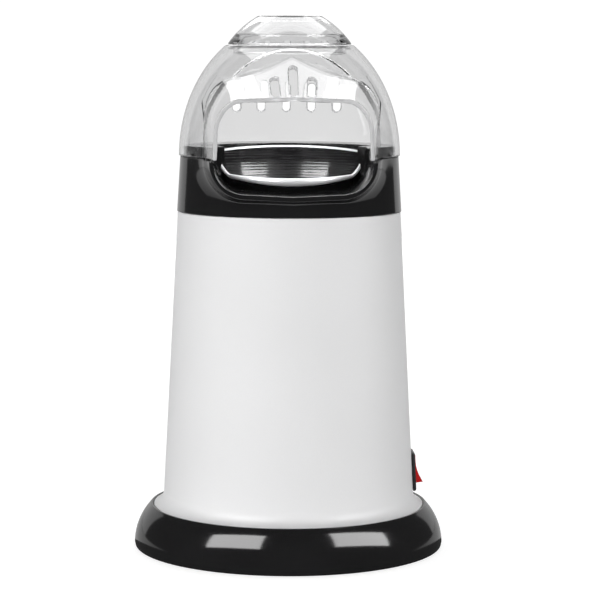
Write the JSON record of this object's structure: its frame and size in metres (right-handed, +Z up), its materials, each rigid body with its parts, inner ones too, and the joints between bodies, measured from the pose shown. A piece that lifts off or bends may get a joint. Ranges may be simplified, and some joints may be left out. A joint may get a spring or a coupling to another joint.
{
  "type": "popcorn maker",
  "caption": "Hot-air popcorn maker: tapered white tower on a round black base, dark popping chamber, clear lift-off hood with a front spout and a measuring cap on top, and a side rocker switch.",
  "frame": {"origin": "centre of the base on the table, at the underside of the rubber feet", "axes": "+Z up through the tower, -Y out of the spout at the front, +X towards the side with the switch"},
  "size_m": [0.164, 0.164, 0.2807],
  "materials": {
    "white_shell": "satin white moulded plastic",
    "black_gloss": "glossy black moulded plastic",
    "black_matte": "matte black moulded plastic",
    "clear_plastic": "clear polished polycarbonate",
    "coated_aluminium": "turned aluminium with a dark non-stick coating and a bare rim",
    "steel": "zinc-plated sheet steel",
    "screw_steel": "zinc-plated fasteners",
    "brass": "bright brass",
    "rubber": "matte black rubber",
    "silicone": "red silicone",
    "mica": "mica board",
    "nichrome": "oxidised nichrome wire",
    "ceramic_white": "white ceramic and thermoset",
    "grey_plastic": "grey heat-resistant plastic",
    "winding": "laminations and copper windings",
    "magnet": "ferrite",
    "board": "phenolic circuit board",
    "red_rocker": "translucent red plastic",
    "lead_sleeve": "insulated leads"
  },
  "bodies": {
    "housing": {"body_shell": "white_shell", "upper_collar": "black_gloss", "base_ring": "black_gloss", "bottom_plate": "black_matte", "feet": "rubber", "base_screws": "screw_steel", "tie_rods": "screw_steel", "tie_nuts": "screw_steel", "popping_chamber": "coated_aluminium", "chamber_gasket": "silicone", "chamber_screws": "screw_steel", "heater_housing": "steel", "heater_frame": "mica", "heating_coil": "nichrome", "heat_shield": "steel", "thermostat": "ceramic_white", "thermal_fuse": "steel", "fan_housing": "grey_plastic", "fan_housing_screws": "screw_steel", "motor_mount": "steel", "motor_mount_screws": "screw_steel", "motor_can": "steel", "motor_end_cap": "ceramic_white", "motor_magnets": "magnet", "upper_bush": "brass", "lower_bush": "brass", "rectifier_board": "board", "rectifier_diodes": "black_matte", "terminal_block": "ceramic_white", "terminal_screws": "brass", "cord_grommet": "rubber", "cord_clamp": "black_matte", "clamp_screws": "screw_steel", "switch_housing": "black_matte", "switch_terminals": "brass", "mains_leads": "lead_sleeve", "heater_leads": "lead_sleeve", "motor_leads": "lead_sleeve"},
    "rotor": {"fan_impeller": "grey_plastic", "motor_shaft": "steel", "motor_armature": "winding", "commutator": "brass"},
    "rocker": {"switch_rocker": "red_rocker"},
    "hood": {"hood": "clear_plastic"},
    "measuring_cap": {"measuring_cap": "clear_plastic"}
  },
  "joints": [
    {"name": "hood_lift", "type": "slide", "parent": "housing", "child": "hood", "axis": [0, 0, 1], "range_m": [0, 0.06]},
    {"name": "cap_lift", "type": "slide", "parent": "hood", "child": "measuring_cap", "axis": [0, 0, 1], "range_m": [0, 0.03]},
    {"name": "rocker_tilt", "type": "hinge", "parent": "housing", "child": "rocker", "pos_m": [0.06409, 0, 0.03991], "axis": [0, 1, 0], "range_deg": [0, 26]},
    {"name": "fan_spin", "type": "hinge", "parent": "housing", "child": "rotor", "pos_m": [0, 0, 0.03], "axis": [0, 0, 1], "continuous": true}
  ]
}
